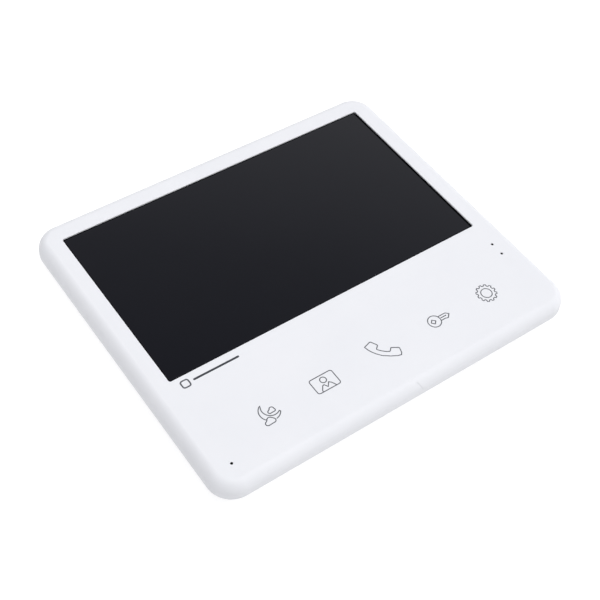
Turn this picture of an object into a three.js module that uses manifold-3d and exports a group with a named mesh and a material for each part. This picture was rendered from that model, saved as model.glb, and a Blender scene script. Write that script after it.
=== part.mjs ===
// Wall monitor of a video door intercom, lying on its back as it hangs: wall bracket below,
// screen above. Millimetres. The origin is the centre of the footprint on the wall plane,
// +X is to the right, +Y is up the face and +Z comes out of the face.

import * as THREE from 'three';
import { mergeVertices } from 'three/addons/utils/BufferGeometryUtils.js';
import Module from 'manifold-3d';

// ---- Driving dimensions ----

const BODY_WIDTH = 176.3;
const BODY_HEIGHT = 152;
const BODY_DEPTH = 16.4;
const CORNER_RADIUS = 10.8;
const FRONT_EDGE_RADIUS = 4.4;
const LOWER_EDGE_RADIUS = 2.1;
const SHELL_LOW = 6.6;
const SIDE_WALL = 2.4;
const FACE_SKIN = 2;

const WINDOW_WIDTH = 155.6;
const WINDOW_HEIGHT = 87.3;
const WINDOW_Y = 21.7;
const WINDOW_RADIUS = 0.8;
const RIM_THICKNESS = 0.8;
const RIM_WIDTH = 2.4;
const LENS_TOP = BODY_DEPTH - 0.2;

const KEY_Y = -54.8;
const KEYS = { silence: -53.5, view: -27.2, talk: 2.15, unlock: 31.1, settings: 57.3 };
const MICROPHONE = { x: -77.5, y: -65.4 };
const INDICATOR_X = 77.7;
const INDICATOR_YS = [-34.9, -41.2];
const FACE_HOLE_RADIUS = 0.6;
const NOTCH = { x: 3.75, width: 0.5, depth: 0.3, low: 12.4, high: 15.7 };

const PLINTH_INSET = 10;
const PLINTH_RADIUS = 7;
const PLINTH_EDGE = 1.6;
const COVER_WALL = 1.8;
const FLANGE_LOW = 6.9;
const FLANGE_HIGH = 8.7;
const FIT_GAP = 0.3;
const SPEAKER_SLOT = { rows: 7, pitch: 3.1, height: 1.6, reach: 11.5 };
const SIDE_VENT = { rows: 8, pitch: 4.6, x: 67.8, firstY: 8, width: 8, height: 1.8 };
const SOUND_SLOT = { count: 8, pitch: 3.4, halfWidth: 0.8 };
const AIR_SLOT = { count: 12, pitch: 5, halfWidth: 0.9 };
const END_SLOT_LOW = 2.8;
const END_SLOT_HIGH = 5.8;

const BRACKET = { width: 118, height: 84, y: 18, thickness: 1, radius: 4 };
const LIFT_TRAVEL = 6.5;
const RECESS_DEPTH = 1.3;
const HOOK = { x: 50, ys: [46, -14], halfWidth: 4, side: 0.6, reach: 5.5, low: 3.4, high: 4.4 };
const WALL_SLOT = { x: 30, ys: [48, -12], width: 4.6, length: 10 };
const CABLE_WINDOW = { width: 80, height: 36 };

const POCKET = { width: 72, height: 28, y: 17, wall: 1.4, high: 5.9 };
const SOCKET = { mouthY: 23.4, depth: 7, low: 1.4, high: 6.1, wall: 0.9, spacing: 2.4 };
const FOUR_PIN_WIDTH = 11.8;
const TWO_PIN_WIDTH = 7.8;

const DISPLAY = { width: 165, height: 98.7, y: 20.5, low: 9.5, high: 13.9, sheet: 0.4 };
const MAIN_BOARD = { width: 128, height: 70, y: 15, low: 6.2, high: 7.8 };
const BOARD_SCREW_X = 59.5;
const BOARD_SCREW_YS = [44, -14];
const TOUCH_BOARD = { width: 124.6, height: 15, low: 11, high: 12.2 };
const TOUCH_SCREW_XS = [-40.3, 44.2];
const INDICATOR_BOARD = { x: 76.7, y: -47.2, width: 13.8, height: 33.6, low: 9.2, high: 10.4 };
const PEG_X = 73;
const PEG_YS = [-33.5, -61.5];
const CARD = { length: 14.9, width: 11, low: 10.8, high: 11.6, endX: 87.5, y: -51.5 };

const HOUSING_SCREW_X = 66;
const HOUSING_SCREW_YS = [-61, -36];
const HOUSING_POST = { radius: 3, pilot: 1.3, low: 4.1 };
const TOUCH_POST = { radius: 2.4, pilot: 0.85, low: 12.4 };
const BOARD_POST = { radius: 2.8, pilot: 1.15 };
const SCREW_SLEEVE = { radius: 4.6, headRadius: 3.3, shankRadius: 1.7, high: 3.9, seat: 2.2 };
const PEG = { collar: 2.2, stem: 1.2, head: 2, headLow: 8.3, headHigh: 8.9 };
const MICROPHONE_SEAT = { outer: 6.1, inner: 4.9, low: 11 };
const LATCH_XS = [-55, 0, 55];
const LATCH_HALF_LENGTH = 6;
const CATCH_HALF_LENGTH = 7;
const SPEAKER = { x: 40, y: -48.3, radius: 14 };
const FOAM_X = 73.3;

// ---- Solids from three.js geometry ----

const wasm = await Module();
wasm.setup();

function enclosedVolume(points, corners) {
  const [a, b, c] = [new THREE.Vector3(), new THREE.Vector3(), new THREE.Vector3()];
  let volume = 0;
  for (let i = 0; i < corners.length; i += 3) {
    a.fromArray(points, 3 * corners[i]);
    b.fromArray(points, 3 * corners[i + 1]);
    c.fromArray(points, 3 * corners[i + 2]);
    volume += a.dot(b.cross(c)) / 6;
  }
  return volume;
}

// Closed geometry as a solid with its faces pointing out.
function toSolid(geometry) {
  const bare = geometry.clone();
  bare.deleteAttribute('normal');
  bare.deleteAttribute('uv');
  const merged = mergeVertices(bare);
  const points = Float32Array.from(merged.attributes.position.array);
  const corners = [];
  for (let i = 0; i < merged.index.count; i += 3) {
    const face = [0, 1, 2].map((k) => merged.index.getX(i + k));
    if (new Set(face).size === 3) corners.push(...face);
  }
  if (enclosedVolume(points, corners) < 0) corners.reverse();
  const triVerts = Uint32Array.from(corners);
  return new wasm.Manifold(new wasm.Mesh({ numProp: 3, vertProperties: points, triVerts }));
}

function toGeometry(solid) {
  const mesh = solid.getMesh();
  const geometry = new THREE.BufferGeometry();
  const points = Float32Array.from(mesh.vertProperties);
  geometry.setAttribute('position', new THREE.BufferAttribute(points, 3));
  geometry.setIndex(new THREE.BufferAttribute(Uint32Array.from(mesh.triVerts), 1));
  geometry.computeVertexNormals();
  return geometry;
}

function box(xLow, xHigh, yLow, yHigh, zLow, zHigh) {
  const geometry = new THREE.BoxGeometry(xHigh - xLow, yHigh - yLow, zHigh - zLow);
  geometry.translate((xLow + xHigh) / 2, (yLow + yHigh) / 2, (zLow + zHigh) / 2);
  return toSolid(geometry);
}

// A rounded rectangle, anticlockwise from its right side.
function outline(width, height, radius, x = 0, y = 0, steps = 3) {
  const points = [];
  for (let corner = 0; corner < 4; corner++) {
    const sideX = corner === 0 || corner === 3 ? 1 : -1;
    const sideY = corner < 2 ? 1 : -1;
    for (let step = 0; step <= steps; step++) {
      const angle = (corner + step / steps) * (Math.PI / 2);
      const cornerX = x + sideX * (width / 2 - radius);
      const cornerY = y + sideY * (height / 2 - radius);
      points.push(new THREE.Vector2(cornerX + radius * Math.cos(angle), cornerY + radius * Math.sin(angle)));
    }
  }
  return points;
}

function prism(points, low, high) {
  const shape = new THREE.Shape(points);
  const geometry = new THREE.ExtrudeGeometry(shape, { depth: high - low, bevelEnabled: false });
  geometry.translate(0, 0, low);
  return toSolid(geometry);
}

function plate({ width, height, radius = 0.5, x = 0, y = 0, steps = 3 }, low, high) {
  return prism(outline(width, height, radius, x, y, steps), low, high);
}

function disc(radius, low, high, x = 0, y = 0, sides = 20) {
  const geometry = new THREE.CylinderGeometry(radius, radius, high - low, sides);
  geometry.rotateX(Math.PI / 2);
  geometry.translate(x, y, (low + high) / 2);
  return toSolid(geometry);
}

// A turned piece standing along Z, from [radius, height] corners of its half section.
function turned(section, sides = 24) {
  const profile = section.map(([radius, height]) => new THREE.Vector2(radius, height));
  const geometry = new THREE.LatheGeometry([...profile, profile[0].clone()], sides);
  geometry.rotateX(Math.PI / 2);
  return toSolid(geometry);
}

// A rounded-rectangle block whose lower and upper edges are rolled over.
function rolledBlock(width, height, radius, low, high, lowRoll, highRoll, cornerSteps, rollSteps) {
  const levels = [];
  for (let step = 0; step <= rollSteps; step++) {
    const turn = (step / rollSteps) * (Math.PI / 2);
    levels.push({ inset: lowRoll * (1 - Math.sin(turn)), z: low + lowRoll * (1 - Math.cos(turn)) });
  }
  for (let step = 0; step <= rollSteps; step++) {
    const turn = (step / rollSteps) * (Math.PI / 2);
    levels.push({ inset: highRoll * (1 - Math.cos(turn)), z: high - highRoll * (1 - Math.sin(turn)) });
  }
  const rings = levels
    .filter((level, i) => i === 0 || level.z - levels[i - 1].z > 1e-6)
    .map(({ inset, z }) => ({
      z,
      points: outline(width - 2 * inset, height - 2 * inset, radius - inset, 0, 0, cornerSteps),
    }));
  const around = rings[0].points.length;
  const positions = rings.flatMap(({ z, points }) => points.flatMap(({ x, y }) => [x, y, z]));
  const faces = [];
  for (let ring = 0; ring < rings.length - 1; ring++) {
    for (let i = 0; i < around; i++) {
      const next = (i + 1) % around;
      const [a, b] = [ring * around + i, ring * around + next];
      faces.push(a, b, b + around, a, b + around, a + around);
    }
  }
  const top = (rings.length - 1) * around;
  for (let i = 1; i < around - 1; i++) {
    faces.push(0, i + 1, i);
    faces.push(top, top + i, top + i + 1);
  }
  const geometry = new THREE.BufferGeometry();
  geometry.setAttribute('position', new THREE.Float32BufferAttribute(positions, 3));
  geometry.setIndex(faces);
  return toSolid(geometry);
}

function joined(solids) {
  return solids.reduce((whole, solid) => whole.add(solid));
}

function mirrored(make) {
  return joined([make(-1), make(1)]);
}

// A block on one side of the body, between two distances from its middle.
function sideBlock(side, near, far, yLow, yHigh, zLow, zHigh) {
  return box(Math.min(side * near, side * far), Math.max(side * near, side * far), yLow, yHigh, zLow, zHigh);
}

// ---- Front shell ----

function faceHole(x, y) {
  return disc(FACE_HOLE_RADIUS, BODY_DEPTH - FACE_SKIN - 1, BODY_DEPTH + 1, x, y, 16);
}

// The fine notch that runs over the middle of the lower edge.
function edgeNotch() {
  const cutter = box(
    NOTCH.x - NOTCH.width / 2, NOTCH.x + NOTCH.width / 2,
    -BODY_HEIGHT / 2 - 1, -BODY_HEIGHT / 2 + FRONT_EDGE_RADIUS,
    NOTCH.low, NOTCH.high,
  );
  const core = rolledBlock(
    BODY_WIDTH - 2 * NOTCH.depth, BODY_HEIGHT - 2 * NOTCH.depth, CORNER_RADIUS - NOTCH.depth,
    SHELL_LOW, BODY_DEPTH - NOTCH.depth, LOWER_EDGE_RADIUS, FRONT_EDGE_RADIUS - NOTCH.depth, 2, 6,
  );
  return cutter.subtract(core);
}

function frontShell() {
  const inner = BODY_DEPTH - FACE_SKIN;
  const rooted = inner + 0.2;
  const outer = rolledBlock(
    BODY_WIDTH, BODY_HEIGHT, CORNER_RADIUS, SHELL_LOW, BODY_DEPTH,
    LOWER_EDGE_RADIUS, FRONT_EDGE_RADIUS, 8, 5,
  );
  const cavity = rolledBlock(
    BODY_WIDTH - 2 * SIDE_WALL, BODY_HEIGHT - 2 * SIDE_WALL, CORNER_RADIUS - SIDE_WALL,
    SHELL_LOW - 1, inner, 0, 1.2, 4, 1,
  );
  const window = plate(
    { width: WINDOW_WIDTH, height: WINDOW_HEIGHT, radius: WINDOW_RADIUS, y: WINDOW_Y },
    inner - 1, BODY_DEPTH + 1,
  );
  const rebate = plate(
    { width: WINDOW_WIDTH + 2 * RIM_WIDTH, height: WINDOW_HEIGHT + 2 * RIM_WIDTH, radius: 1.5, y: WINDOW_Y },
    inner - 1, BODY_DEPTH - RIM_THICKNESS,
  );
  const posts = [];
  const pilots = [];
  for (const x of [-HOUSING_SCREW_X, HOUSING_SCREW_X]) {
    for (const y of HOUSING_SCREW_YS) {
      posts.push(disc(HOUSING_POST.radius, HOUSING_POST.low, rooted, x, y, 16));
      pilots.push(disc(HOUSING_POST.pilot, 3, 12, x, y, 10));
    }
  }
  for (const x of TOUCH_SCREW_XS) {
    posts.push(disc(TOUCH_POST.radius, TOUCH_POST.low, rooted, x, KEY_Y, 12));
    pilots.push(disc(TOUCH_POST.pilot, 12, 14, x, KEY_Y, 10));
  }
  // Heat-staked pegs hold the indicator board from below.
  for (const y of PEG_YS) {
    posts.push(disc(PEG.collar, INDICATOR_BOARD.high + FIT_GAP, rooted, PEG_X, y, 12));
    posts.push(disc(PEG.stem, 8.7, rooted, PEG_X, y, 12));
    posts.push(disc(PEG.head, PEG.headLow, PEG.headHigh, PEG_X, y, 12));
  }
  const seat = MICROPHONE_SEAT;
  const microphoneSeat = disc(seat.outer, seat.low, rooted, MICROPHONE.x, MICROPHONE.y)
    .subtract(disc(seat.inner, seat.low - 1, rooted + 1, MICROPHONE.x, MICROPHONE.y));
  const wallX = BODY_WIDTH / 2 - SIDE_WALL;
  const displayRibs = [-10, 20, 50].map((y) => mirrored((side) => (
    sideBlock(side, 82.8, wallX + 0.2, y - 0.6, y + 0.6, 10, rooted)
  )));
  const wallY = BODY_HEIGHT / 2 - SIDE_WALL;
  const catches = LATCH_XS.map((x) => (
    box(x - CATCH_HALF_LENGTH, x + CATCH_HALF_LENGTH, wallY - 1, wallY + 0.4, 9, 10)
  ));
  const cardSlot = box(
    wallX - 1, BODY_WIDTH / 2 + 1,
    CARD.y - CARD.width / 2 - FIT_GAP, CARD.y + CARD.width / 2 + FIT_GAP,
    CARD.low - 0.25, CARD.high + 0.25,
  );
  return outer
    .subtract(cavity)
    .add(joined([...posts, ...displayRibs, ...catches, microphoneSeat]))
    .subtract(joined([window, rebate, cardSlot, edgeNotch(), ...pilots]))
    .subtract(faceHole(MICROPHONE.x, MICROPHONE.y))
    .subtract(joined(INDICATOR_YS.map((y) => faceHole(INDICATOR_X, y))));
}

// ---- Rear cover ----

function speakerSlots() {
  const { rows, pitch, height, reach } = SPEAKER_SLOT;
  const slots = [];
  for (let row = 0; row < rows; row++) {
    const y = pitch * (row - (rows - 1) / 2);
    const width = 2 * Math.sqrt(reach ** 2 - y ** 2);
    slots.push(plate(
      { width, height, radius: 0.6, x: SPEAKER.x, y: SPEAKER.y + y, steps: 1 }, -1, COVER_WALL + 0.5,
    ));
  }
  return joined(slots);
}

// Slots in the end walls of the plinth: sound below, warm air above.
function endWallSlots() {
  const plinthY = BODY_HEIGHT / 2 - PLINTH_INSET;
  const rows = [
    [SOUND_SLOT, SPEAKER.x, -plinthY - 1, -plinthY + COVER_WALL + 0.5],
    [AIR_SLOT, 0, plinthY - COVER_WALL - 0.5, plinthY + 1],
  ];
  const slots = [];
  for (const [{ count, pitch, halfWidth }, middle, yLow, yHigh] of rows) {
    for (let i = 0; i < count; i++) {
      const x = middle + pitch * (i - (count - 1) / 2);
      slots.push(box(x - halfWidth, x + halfWidth, yLow, yHigh, END_SLOT_LOW, END_SLOT_HIGH));
    }
  }
  return joined(slots);
}

function sideVents() {
  const { rows, pitch, x, firstY, width, height } = SIDE_VENT;
  const slots = [];
  for (let row = 0; row < rows; row++) {
    const y = firstY + pitch * row;
    slots.push(mirrored((side) => plate(
      { width, height, radius: 0.6, x: side * x, y, steps: 1 }, -1, COVER_WALL + 0.5,
    )));
  }
  return joined(slots);
}

// A snap latch: an upright tongue with an outward barb at its tip.
function latch(x) {
  const section = [[71, 8], [72.2, 8], [72.2, 10.3], [73.2, 10.3], [72.2, 11.5], [71, 11.5]];
  const shape = new THREE.Shape(section.map(([y, z]) => new THREE.Vector2(y, z)));
  const geometry = new THREE.ExtrudeGeometry(shape, { depth: 2 * LATCH_HALF_LENGTH, bevelEnabled: false });
  geometry.rotateX(Math.PI / 2);
  geometry.rotateZ(Math.PI / 2);
  geometry.translate(x - LATCH_HALF_LENGTH, 0, 0);
  return toSolid(geometry);
}

function rearCover() {
  const flangeInset = SIDE_WALL + FIT_GAP;
  const flange = plate({
    width: BODY_WIDTH - 2 * flangeInset,
    height: BODY_HEIGHT - 2 * flangeInset,
    radius: CORNER_RADIUS - flangeInset,
    steps: 6,
  }, FLANGE_LOW, FLANGE_HIGH);
  const plinthWidth = BODY_WIDTH - 2 * PLINTH_INSET;
  const plinthHeight = BODY_HEIGHT - 2 * PLINTH_INSET;
  const plinth = rolledBlock(plinthWidth, plinthHeight, PLINTH_RADIUS, 0, FLANGE_HIGH, PLINTH_EDGE, 0, 5, 3);
  const interior = plate({
    width: plinthWidth - 2 * COVER_WALL,
    height: plinthHeight - 2 * COVER_WALL,
    radius: PLINTH_RADIUS - COVER_WALL,
  }, COVER_WALL, FLANGE_HIGH + 1);

  // The recess is longer than the bracket by the travel that unhooks it.
  const recess = {
    width: BRACKET.width + 1.4,
    height: BRACKET.height + LIFT_TRAVEL + 1.1,
    radius: BRACKET.radius + 0.6,
    y: BRACKET.y - LIFT_TRAVEL / 2 + 0.05,
  };
  const raisedFloor = plate(
    { ...recess, width: recess.width + 3.6, height: recess.height + 3.6 }, 0.5, RECESS_DEPTH + COVER_WALL,
  );
  const pocketWall = plate({
    width: POCKET.width + 2 * POCKET.wall, height: POCKET.height + 2 * POCKET.wall, radius: 2, y: POCKET.y,
  }, COVER_WALL, POCKET.high);
  const additions = [raisedFloor, pocketWall];
  const cuts = [
    plate(recess, -1, RECESS_DEPTH),
    plate({ width: POCKET.width, height: POCKET.height, radius: 1, y: POCKET.y }, -1, POCKET.high + 1),
    speakerSlots(), endWallSlots(), sideVents(),
  ];
  const hookReach = HOOK.halfWidth + HOOK.side;
  for (const x of [-HOOK.x, HOOK.x]) {
    for (const y of HOOK.ys) {
      cuts.push(box(x - hookReach, x + hookReach, y - LIFT_TRAVEL - 0.4, y + 1.3, 0, 4));
    }
  }
  for (const x of [-BOARD_SCREW_X, BOARD_SCREW_X]) {
    for (const y of BOARD_SCREW_YS) {
      additions.push(disc(BOARD_POST.radius, COVER_WALL, MAIN_BOARD.low - 0.2, x, y, 14));
      cuts.push(disc(BOARD_POST.pilot, 2.4, MAIN_BOARD.low + 1, x, y, 10));
    }
  }
  for (const x of [-HOUSING_SCREW_X, HOUSING_SCREW_X]) {
    for (const y of HOUSING_SCREW_YS) {
      additions.push(disc(SCREW_SLEEVE.radius, 1, SCREW_SLEEVE.high, x, y));
      cuts.push(disc(SCREW_SLEEVE.headRadius, -1, SCREW_SLEEVE.seat, x, y));
      cuts.push(disc(SCREW_SLEEVE.shankRadius, 0, 5, x, y, 12));
    }
  }
  const speakerSeat = disc(15.6, 1, 4.6, SPEAKER.x, SPEAKER.y, 28)
    .subtract(disc(SPEAKER.radius + 0.3, 0, 6, SPEAKER.x, SPEAKER.y, 28));
  additions.push(speakerSeat, ...LATCH_XS.map(latch));
  additions.push(mirrored((side) => sideBlock(side, 83.4, 84.8, -15, 60, 8, 9.7)));
  additions.push(mirrored((side) => sideBlock(side, 72.5, 74.1, -20, 60, 1, 8.3)));
  return flange.add(plinth).subtract(interior).add(joined(additions)).subtract(joined(cuts));
}

// ---- Wall bracket ----

function wallBracket() {
  const hooks = [];
  const cuts = [plate({ ...CABLE_WINDOW, radius: 2, y: BRACKET.y }, -1, 2)];
  const { halfWidth, side, reach, low, high } = HOOK;
  for (const x of [-HOOK.x, HOOK.x]) {
    for (const y of HOOK.ys) {
      cuts.push(box(x - halfWidth - side, x + halfWidth + side, y + BRACKET.thickness, y + 8, -1, 2));
      hooks.push(box(x - halfWidth, x + halfWidth, y, y + BRACKET.thickness, 0, high));
      hooks.push(box(x - halfWidth, x + halfWidth, y, y + reach, low, high));
    }
  }
  const { width, length } = WALL_SLOT;
  for (const x of [-WALL_SLOT.x, WALL_SLOT.x]) {
    for (const y of WALL_SLOT.ys) {
      cuts.push(plate({ width, height: length, radius: 2.29, x, y, steps: 4 }, -1, 2));
    }
  }
  return plate({ ...BRACKET, steps: 4 }, 0, BRACKET.thickness)
    .subtract(joined(cuts))
    .add(joined(hooks));
}

// ---- Screen and display ----

function frame(outer, opening, low, high) {
  return plate(outer, low, high).subtract(plate(opening, low - 1, high + 1));
}

function displayBezel() {
  const { width, height, y, low, high, sheet } = DISPLAY;
  const opening = { width: WINDOW_WIDTH + 1, height: WINDOW_HEIGHT + 1, y: WINDOW_Y };
  return plate({ width, height, y, radius: 1 }, low, high)
    .subtract(plate({ width: width - 2 * sheet, height: height - 2 * sheet, y }, low - 1, high - sheet))
    .subtract(plate(opening, low, high + 1));
}

function backlightTray() {
  const outer = { width: DISPLAY.width - 1.2, height: DISPLAY.height - 1.3, y: DISPLAY.y };
  const inner = { width: outer.width - 0.7, height: outer.height - 0.7, y: DISPLAY.y };
  return plate(outer, 9.6, 11.6).subtract(plate(inner, 9.95, 13));
}

// A flat ribbon: its route is [y, z] along its lower side, swept across its width.
function ribbon(route, thickness, x, width) {
  const upper = route.map(([y, z]) => [y, z + thickness]).reverse();
  const shape = new THREE.Shape([...route, ...upper].map(([y, z]) => new THREE.Vector2(y, z)));
  const geometry = new THREE.ExtrudeGeometry(shape, { depth: width, bevelEnabled: false });
  geometry.rotateX(Math.PI / 2);
  geometry.rotateZ(Math.PI / 2);
  geometry.translate(x - width / 2, 0, 0);
  return toSolid(geometry);
}

// ---- Boards, sockets and chips ----

function mainBoard() {
  const board = plate({ ...MAIN_BOARD, radius: 1.5 }, MAIN_BOARD.low, MAIN_BOARD.high);
  const holes = [];
  for (const x of [-BOARD_SCREW_X, BOARD_SCREW_X]) {
    for (const y of BOARD_SCREW_YS) holes.push(disc(1.4, 5, 9, x, y, 12));
  }
  return board.subtract(joined(holes));
}

function touchBoard() {
  const board = plate({ ...TOUCH_BOARD, x: 0.1, y: KEY_Y, radius: 1 }, TOUCH_BOARD.low, TOUCH_BOARD.high);
  return board.subtract(joined(TOUCH_SCREW_XS.map((x) => disc(1.1, 10, 13, x, KEY_Y, 12))));
}

function indicatorBoard() {
  const board = plate({ ...INDICATOR_BOARD, radius: 1 }, INDICATOR_BOARD.low, INDICATOR_BOARD.high);
  return board.subtract(joined(PEG_YS.map((y) => disc(1.5, 8, 12, PEG_X, y, 12))));
}

// A side-entry plug socket with its mouth towards -Y, centred on x = 0.
function socket(width) {
  const { depth, low, high, wall } = SOCKET;
  const body = box(-width / 2, width / 2, 0, depth, low, high);
  const hollow = box(-width / 2 + wall, width / 2 - wall, -1, depth - 1, low + 0.7, high - 0.7);
  const latchWindow = box(-1.3, 1.3, -1, depth - 2.5, low - 1, low + 0.8);
  return body.subtract(hollow).subtract(latchWindow);
}

function chip(width, height, low, high, x, y) {
  return plate({ width, height, radius: 0.3, x, y, steps: 1 }, low, high);
}

function indicatorLed() {
  return turned([
    [0, 10.5], [1.8, 10.5], [1.8, 11.3], [1.5, 11.3], [1.5, 12.7], [1.3, 13.45], [0.75, 14], [0, 14.2],
  ], 14);
}

function cardSocket() {
  const { x, high } = INDICATOR_BOARD;
  const reach = CARD.width / 2 + 0.2;
  const mouthX = BODY_WIDTH / 2 - SIDE_WALL - 0.7;
  const shell = box(x - 5.9, mouthX, CARD.y - 7, CARD.y + 7, high + 0.1, 12);
  const hollow = box(x - 4.9, mouthX + 1, CARD.y - reach, CARD.y + reach, CARD.low - 0.1, CARD.high + 0.1);
  return shell.subtract(hollow);
}

// A memory card: a chamfered corner and the wider nose past the step in its side.
function memoryCard() {
  const [low, high] = [CARD.y - CARD.width / 2, CARD.y + CARD.width / 2];
  const tail = CARD.endX;
  const nose = tail - CARD.length;
  const corners = [
    [tail, low], [tail, high], [nose + 6.6, high], [nose + 5.4, high - 1.2], [nose + 0.6, high - 1.2],
    [nose, high - 1.8], [nose, low],
  ];
  return prism(corners.map(([x, y]) => new THREE.Vector2(x, y)), CARD.low, CARD.high);
}

// ---- Microphone and speaker ----

function microphoneBoot() {
  return turned([
    [0.8, 13.8], [3.2, 13.8], [3.2, 10.6], [4.6, 10.6], [4.6, 13.9], [4.3, 14.2], [0.8, 14.2],
  ], 20);
}

function microphoneCapsule() {
  return turned([[0, 11.1], [2.9, 11.1], [3, 11.3], [3, 13.4], [2.7, 13.6], [0, 13.6]], 20);
}

function speakerBasket() {
  return turned([
    [0, 5.4], [6.6, 5.4], [11.4, 3], [11.8, 2.6], [14, 2.6], [14, 3.2], [12, 3.2], [7, 6], [0, 6],
  ]);
}

function speakerMagnet() {
  return turned([[0, 6.1], [8.5, 6.1], [8.5, 8.4], [6, 8.4], [6, 9], [0, 9]]);
}

function speakerCone() {
  return turned([
    [0, 3.1], [2.2, 3.4], [3.2, 4.2], [9.2, 2.8], [10.4, 2.6], [10.4, 2.9], [9.2, 3.2], [3.1, 4.65],
    [1.9, 3.8], [0, 3.5],
  ]);
}

function speakerGasket() {
  return turned([[11.6, 1.9], [13.9, 1.9], [13.9, 2.5], [11.6, 2.5]]);
}

// A round wire through the points of its route.
function wire(points, radius, steps) {
  const path = new THREE.CatmullRomCurve3(points.map(([x, y, z]) => new THREE.Vector3(x, y, z)));
  const section = [];
  for (let i = 0; i < 8; i++) {
    const angle = (i / 8) * 2 * Math.PI;
    section.push(new THREE.Vector2(radius * Math.cos(angle), radius * Math.sin(angle)));
  }
  const shape = new THREE.Shape(section);
  return toSolid(new THREE.ExtrudeGeometry(shape, { steps, bevelEnabled: false, extrudePath: path }));
}

function speakerLead(x) {
  return wire([
    [x, -36.3, 4.3], [x, -35.2, 5.7], [x - 0.5, -32, 6], [x - 1, -26, 5.6], [x - 1.5, -22.2, 6.6],
    [x - 1.5, -21, 8], [x - 1.5, -19, 8.6], [x - 1.5, -16, 8.6],
  ], 0.5, 18);
}

function microphoneLead() {
  return wire([
    [-77.5, -65.4, 10.3], [-76.5, -59, 9.8], [-72.6, -48, 9.4], [-71, -37, 8.4], [-68.5, -27, 8],
    [-64.5, -20, 8.6], [-61.5, -17.5, 8.6],
  ], 0.6, 20);
}

// ---- Screws ----

// A cross-head screw: the head's seat is at z = 0 and the shank points up.
function screw(headRadius, headHeight, shankRadius, length) {
  const body = turned([
    [0, -headHeight], [headRadius * 0.75, -headHeight], [headRadius, -headHeight * 0.6], [headRadius, 0],
    [shankRadius, 0], [shankRadius, length - shankRadius], [0, length],
  ], 14);
  const arm = headRadius * 0.55;
  const blade = headRadius * 0.14;
  const floor = -headHeight * 0.45;
  return body
    .subtract(box(-arm, arm, -blade, blade, -headHeight - 1, floor))
    .subtract(box(-blade, blade, -arm, arm, -headHeight - 1, floor));
}

// ---- Looks ----

const WHITE_PLASTIC = { color: 0xeeeff2, roughness: 0.42, metalness: 0 };
const SCREEN_BLACK = { color: 0x191a1d, roughness: 0.06, metalness: 0 };
const CELL_GREY = { color: 0x24262a, roughness: 0.15, metalness: 0 };
const FOAM_BLACK = { color: 0x1b1b1c, roughness: 0.95, metalness: 0 };
const RUBBER_BLACK = { color: 0x161616, roughness: 0.8, metalness: 0 };
const ZINC_STEEL = { color: 0xb9bcc0, roughness: 0.35, metalness: 1 };
const TIN_SHEET = { color: 0xc4c6c8, roughness: 0.3, metalness: 1 };
const SCREW_STEEL = { color: 0x8f9296, roughness: 0.35, metalness: 1 };
const BOARD_GREEN = { color: 0x1f5a38, roughness: 0.45, metalness: 0 };
const CHIP_BLACK = { color: 0x202124, roughness: 0.55, metalness: 0 };
const SOCKET_CREAM = { color: 0xece7d8, roughness: 0.5, metalness: 0 };
const ACRYLIC = { color: 0xf4f6f6, roughness: 0.1, metalness: 0 };
const FILM_AMBER = { color: 0xb0742a, roughness: 0.4, metalness: 0 };
const LED_CLEAR = { color: 0xdfe3e4, roughness: 0.12, metalness: 0 };
const CONE_PAPER = { color: 0x2a2a2b, roughness: 0.85, metalness: 0 };
const WIRE_RED = { color: 0xb3241e, roughness: 0.5, metalness: 0 };
const WIRE_BLACK = { color: 0x1c1c1e, roughness: 0.5, metalness: 0 };

// ---- Assembly ----

const monitor = new THREE.Group();

function addPart(name, solid, look, { x = 0, y = 0, z = 0, turnX = 0 } = {}) {
  const mesh = new THREE.Mesh(toGeometry(solid), new THREE.MeshStandardMaterial(look));
  mesh.name = name;
  mesh.position.set(x, y, z);
  mesh.rotation.x = turnX;
  monitor.add(mesh);
}

function addScrews(name, xs, ys, z, turnX, size) {
  let number = 1;
  for (const x of xs) {
    for (const y of ys) {
      addPart(`${name}_${number}`, screw(...size), SCREW_STEEL, { x, y, z, turnX });
      number += 1;
    }
  }
}

addPart('front_shell', frontShell(), WHITE_PLASTIC);
addPart('rear_cover', rearCover(), WHITE_PLASTIC);
addPart('wall_bracket', wallBracket(), ZINC_STEEL);

// The lens is stepped: its edge lies under the shell's rim and its middle rises to fill the window.
const lens = { width: WINDOW_WIDTH + 4.4, height: WINDOW_HEIGHT + 4.2, y: WINDOW_Y, radius: 1.2 };
const lensFace = { width: WINDOW_WIDTH - 0.5, height: WINDOW_HEIGHT - 0.5, y: WINDOW_Y, radius: 0.7 };
const clearArea = { width: WINDOW_WIDTH + 0.6, height: WINDOW_HEIGHT + 0.6, y: WINDOW_Y };
addPart('screen_lens', plate(lens, 14.6, 15.5).add(plate(lensFace, 15, LENS_TOP)), SCREEN_BLACK);
addPart('screen_gasket', frame(lens, clearArea, 14, 14.5), FOAM_BLACK);
addPart('display_bezel', displayBezel(), TIN_SHEET);
addPart('display_cell', plate({ width: 163.4, height: 96.8, y: DISPLAY.y }, 12.2, 13.4), CELL_GREY);
addPart('light_guide', plate({ width: 162.8, height: 93.2, y: 22.1 }, 10.1, 12), ACRYLIC);
addPart('backlight_strip', plate({ width: 156, height: 2.2, y: -26.2 }, 10.1, 11.9), ACRYLIC);
addPart('backlight_tray', backlightTray(), TIN_SHEET);
addPart('display_ribbon', ribbon([[-27, 9.1], [-14, 9.1], [-10, 8.3], [-8.2, 8.3]], 0.2, 10, 26), FILM_AMBER);
for (const [side, sign] of [['left', -1], ['right', 1]]) {
  const strip = { width: 5, height: 76, x: sign * FOAM_X, y: 20 };
  addPart(`foam_strip_${side}`, plate(strip, 8.4, 9.5), FOAM_BLACK);
}

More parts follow.
